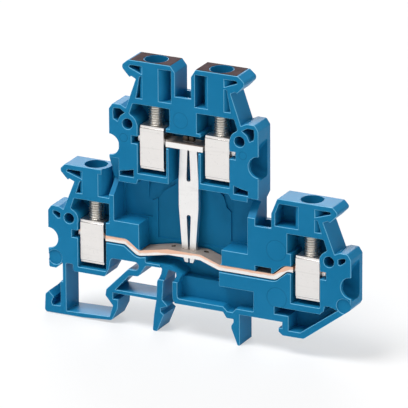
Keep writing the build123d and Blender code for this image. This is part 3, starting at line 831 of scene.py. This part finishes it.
class TERMINALBLOCK_OT_bonder(Operator):
    """Shears the edges of the split plate between the bars and gives it nickel."""

    bl_idname = "terminal_block.bonder"
    bl_label = "Add Bonder"

    def execute(self, context):
        settings = context.scene.block_metal
        bar_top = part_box("upper_bar")[1].z
        # The prongs above the upper bar get painted shade.
        painted_dark_top = bar_top, bar_top + 0.1 * MM, list(settings.painted_shade)
        nickel = bright_nickel("stamped_nickel", list(settings.nickel), (0.4, 1.0, 1.0), painted_dark_top)
        bonder = copied("level_bonder", "split_bonder")
        dress(bonder, "housing", (nickel,), ("level_bonder",))
        soften(bonder, settings.edge, 35)
        return {"FINISHED"}


def round_folds(cage, low, high, radius):
    """Rounds the two long edges at the back of a cage, where its sheet is folded."""

    def on_fold(start, end):
        along = abs(start.x - end.x) > 0.9 * (high.x - low.x)
        outside = min(start.z - low.z, high.z - start.z) < ALONGSIDE
        return along and outside and high.y - start.y < ALONGSIDE

    with editing(cage):
        pick_edges(cage, on_fold)
        bpy.ops.mesh.bevel(offset=radius, segments=4, affect="EDGES", clamp_overlap=True)


class TERMINALBLOCK_OT_cages(Operator):
    """Rounds the folds of the four clamp cages and gives them brushed nickel."""

    bl_idname = "terminal_block.cages"
    bl_label = "Add Cages"

    def execute(self, context):
        settings = context.scene.block_metal
        for clamp in CLAMPS:
            node = clamp + "_cage"
            low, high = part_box(node)
            # The creases get lines of painted shade.
            creases = low.z + settings.sheet, high.z - settings.sheet
            nickel = bright_nickel(clamp + "_nickel", list(settings.cage), (0.12, 1.0, 3.0), None, creases)
            cage = copied(node, clamp + "_folded_cage")
            round_folds(cage, low, high, settings.fold)
            dress(cage, node, (nickel,), (node,))
            soften(cage, settings.edge, 50)
        return {"FINISHED"}


def swept(name, profile, closed, **settings):
    """A new piece swept round the Z axis from a profile of radii and heights, with its ends filled."""
    mesh = bpy.data.meshes.new(name)
    points = [(radius, 0.0, height) for radius, height in profile]
    edges = [(i, i + 1) for i in range(len(points) - 1)]
    if closed:
        edges.append((len(points) - 1, 0))
    mesh.from_pydata(points, edges, [])
    piece = bpy.data.objects.new(name, mesh)
    bpy.context.scene.collection.objects.link(piece)
    modify(piece, "SCREW", axis="Z", use_merge_vertices=True, merge_threshold=0.001 * MM, **settings)
    with editing(piece):
        bpy.ops.mesh.select_mode(type="EDGE")
        bpy.ops.mesh.select_non_manifold()
        bpy.ops.mesh.edge_face_add()
        bpy.ops.mesh.select_all(action="SELECT")
        bpy.ops.mesh.normals_make_consistent(inside=False)
    return piece


def cut_slot(screw, width, length, depth, top):
    """Cuts the screwdriver slot across the head of a screw."""
    bpy.ops.mesh.primitive_cube_add(size=2.0, location=(0.0, 0.0, top))
    cutter = bpy.context.active_object
    cutter.scale = (length, width / 2, depth)
    bpy.ops.object.transform_apply(location=True, scale=True)
    modify(screw, "BOOLEAN", operation="DIFFERENCE", object=cutter, solver="EXACT")
    bpy.data.objects.remove(cutter)


def mark_roots(screw, top, crest, depth):
    """Marks how deep each point below the head lies in the thread, from 0 on the crest to 1 in the root."""
    marks = screw.data.attributes.new("root", "FLOAT", "POINT")
    for i, point in enumerate(screw.data.vertices):
        if point.co.z < top:
            away = math.hypot(point.co.x, point.co.y)
            marks.data[i].value = max(0.0, min(1.0, (crest - away) / depth))


def turned_screw(name, settings, head_diameter, height):
    """A slotted screw with its tip at the origin."""
    under_head = height - settings.head_height
    crest = settings.thread / 2
    core = crest - settings.thread_depth
    head = head_diameter / 2
    edge = settings.edge
    steps = settings.thread_steps
    turned = [
        (0.0, 0.0),
        (core - 2 * edge, 0.0),
        (core, 2 * edge),
        (core, under_head),
        (head - edge, under_head),
        (head, under_head + edge),
        (head, height - 2 * edge),
        (head - 2 * edge, height),
        (0.0, height),
    ]
    round_steps = {"steps": 2 * steps, "render_steps": 2 * steps}
    screw = swept(name, turned, False, screw_offset=0.0, iterations=1, **round_steps)
    cut_slot(screw, settings.slot_width, head_diameter, settings.slot_depth, height)

    # The ridge of the thread: radii, and heights as shares of the pitch
    sunk, blunt = core - edge, crest - 0.03 * MM
    ridge = [(sunk, 0.12), (blunt, 0.44), (crest, 0.5), (blunt, 0.56), (sunk, 0.88)]
    profile = [(radius, (share + 0.5) * settings.pitch) for radius, share in ridge]
    turns = math.floor(under_head / settings.pitch) - 1
    thread = swept(
        name + "_thread",
        profile,
        True,
        screw_offset=settings.pitch,
        iterations=turns,
        steps=steps,
        render_steps=steps,
    )
    select_only(screw)
    thread.select_set(True)
    bpy.ops.object.join()
    mark_roots(screw, under_head - edge, crest, settings.thread_depth)
    select_only(screw)
    bpy.ops.object.shade_smooth_by_angle(angle=THREAD_SHARP)
    return screw


class TERMINALBLOCK_OT_screws(Operator):
    """Turns a screw with a real thread and a slotted head, and stands one in each clamp."""

    bl_idname = "terminal_block.screws"
    bl_label = "Add Screws"

    def execute(self, context):
        settings = context.scene.block_metal
        zinc = plated_screw("plated_screw", list(settings.zinc))
        for clamp in CLAMPS:
            node = clamp + "_screw"
            low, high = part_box(node)
            middle = (low + high) / 2
            screw = turned_screw(clamp + "_threaded_screw", settings, high.x - low.x, high.z - low.z)
            screw.location = (middle.x, middle.y, low.z)
            moved_to_origin(screw)
            dress(screw, node, (zinc,), (node,))
        return {"FINISHED"}


class TERMINALBLOCK_OT_prints(Operator):
    """Gives the printed fields on the upper towers their dark matt ink."""

    bl_idname = "terminal_block.prints"
    bl_label = "Add Prints"

    def execute(self, context):
        settings = context.scene.block_print
        ink = dark_print("dark_print", list(settings.colour))
        for clamp in CLAMPS[:2]:
            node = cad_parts[clamp + "_print"]
            node.data.materials.clear()
            node.data.materials.append(ink)
        return {"FINISHED"}


def camera_place(settings):
    """The camera's place and turn, from its angles round the block."""
    sine, cosine = math.sin(settings.azimuth), math.cos(settings.azimuth)
    flat = math.cos(settings.elevation)
    back = Vector((sine * flat, -cosine * flat, math.sin(settings.elevation)))
    right = Vector((cosine, sine, 0.0))
    up = back.cross(right)
    turned_right = right * math.cos(settings.roll) + up * math.sin(settings.roll)
    turned_up = up * math.cos(settings.roll) - right * math.sin(settings.roll)
    place = Vector(settings.target) + back * settings.distance
    turn = Matrix((turned_right, turned_up, back)).transposed()
    return Matrix.Translation(place) @ turn.to_4x4()


def lay_floor(size, level):
    """A pale floor that is half white by itself in the picture and still takes the block's shadow."""
    deselect()
    bpy.ops.mesh.primitive_plane_add(size=size, location=(0.0, 0.0, level))
    floor = bpy.context.active_object
    floor.name = "pale_floor"
    finish = Finish("pale_floor")
    finish.set(Base_Color=(0.84, 0.84, 0.84), Roughness=0.9, Specular_IOR_Level=0.1)
    matt = Wire(finish, finish.surface.outputs[0])
    glow = finish.node("ShaderNodeEmission", {}, {"Color": WHITE, "Strength": 1.0})
    mixed = finish.node("ShaderNodeMixShader", {}, {0: finish.seen() * 0.5, 1: matt, 2: glow})
    finish.feed(finish.tree.nodes["Material Output"].inputs["Surface"], mixed)
    floor.data.materials.append(finish.material)


def light_all_round(strength):
    """A world that gives a weak light from all round and looks white."""
    world = bpy.data.worlds.new("pale_studio")
    world.use_nodes = True
    sky = Nodes(world.node_tree)
    background = sky.tree.nodes["Background"]
    sky.feed(background.inputs["Color"], WHITE)
    sky.feed(background.inputs["Strength"], strength)
    light = Wire(sky, background.outputs[0])
    white = sky.node("ShaderNodeBackground", {}, {"Color": WHITE, "Strength": 1.0})
    mixed = sky.node("ShaderNodeMixShader", {}, {0: sky.seen(), 1: light, 2: white})
    sky.feed(sky.tree.nodes["World Output"].inputs["Surface"], mixed)
    bpy.context.scene.world = world


def hang_lamp(name, place, aim, size, power):
    """A soft square lamp that points at the block."""
    lamp = bpy.data.lights.new(name, "AREA")
    lamp.size = size
    lamp.energy = power
    holder = bpy.data.objects.new(name, lamp)
    bpy.context.scene.collection.objects.link(holder)
    holder.location = place
    holder.rotation_euler = (Vector(aim) - Vector(place)).to_track_quat("-Z", "Y").to_euler()


def stand_camera(settings):
    """The camera, where the photograph was taken from."""
    camera = bpy.data.cameras.new("camera")
    camera.lens = settings.lens
    camera.sensor_width = 36.0
    camera.clip_start = 0.05
    camera.clip_end = 50.0
    holder = bpy.data.objects.new("camera", camera)
    bpy.context.scene.collection.objects.link(holder)
    holder.matrix_world = camera_place(settings)
    bpy.context.scene.camera = holder


class TERMINALBLOCK_OT_stage(Operator):
    """Lays the pale floor, hangs the studio light and stands the camera."""

    bl_idname = "terminal_block.stage"
    bl_label = "Add Stage"

    def execute(self, context):
        settings = context.scene.block_stage
        lay_floor(settings.floor_size, CAD_BOX[0].z)
        light_all_round(settings.sky_level)
        middle = (0.0, 0.0, 20.0 * MM)
        hang_lamp("key_light", (-0.22, -0.28, 0.84), middle, 0.4, settings.key_power)
        hang_lamp("back_light", (-0.34, 0.76, 0.36), middle, 0.5, settings.back_power)
        hang_lamp("side_light", (0.8, -0.15, 0.3), middle, 0.6, settings.side_power)
        stand_camera(settings)
        context.scene.view_settings.view_transform = "Standard"
        return {"FINISHED"}


class TERMINALBLOCK_PT_panel(Panel):
    """Lists the pieces of the terminal block and their sizes and colours."""

    bl_label = "Terminal Block"
    bl_idname = "TERMINALBLOCK_PT_panel"
    bl_space_type = "VIEW_3D"
    bl_region_type = "UI"
    bl_category = "Terminal Block"

    def draw(self, context):
        for piece in PIECES:
            self.layout.operator(piece.bl_idname)
        for name, group in SETTINGS.items():
            box = self.layout.box()
            for field in group.__annotations__:
                box.prop(getattr(context.scene, name), field)


SETTINGS = {
    "block_housing": HousingSettings,
    "block_metal": MetalSettings,
    "block_print": PrintSettings,
    "block_stage": StageSettings,
}
PIECES = (
    TERMINALBLOCK_OT_housing,
    TERMINALBLOCK_OT_bars,
    TERMINALBLOCK_OT_bonder,
    TERMINALBLOCK_OT_cages,
    TERMINALBLOCK_OT_screws,
    TERMINALBLOCK_OT_prints,
    TERMINALBLOCK_OT_stage,
)


def register():
    """Makes the settings, the operators and the panel known to Blender."""
    for group in SETTINGS.values():
        bpy.utils.register_class(group)
    for name, group in SETTINGS.items():
        setattr(bpy.types.Scene, name, PointerProperty(type=group))
    for piece in PIECES:
        bpy.utils.register_class(piece)
    bpy.utils.register_class(TERMINALBLOCK_PT_panel)


def unregister():
    """Takes them back in the other order."""
    bpy.utils.unregister_class(TERMINALBLOCK_PT_panel)
    for piece in reversed(PIECES):
        bpy.utils.unregister_class(piece)
    for name in SETTINGS:
        delattr(bpy.types.Scene, name)
    for group in reversed(SETTINGS.values()):
        bpy.utils.unregister_class(group)


def main():
    """Builds the whole scene."""
    register()
    bpy.ops.terminal_block.housing()
    bpy.ops.terminal_block.bars()
    bpy.ops.terminal_block.bonder()
    bpy.ops.terminal_block.cages()
    bpy.ops.terminal_block.screws()
    bpy.ops.terminal_block.prints()
    bpy.ops.terminal_block.stage()
    deselect()


if __name__ == "__main__":
    main()
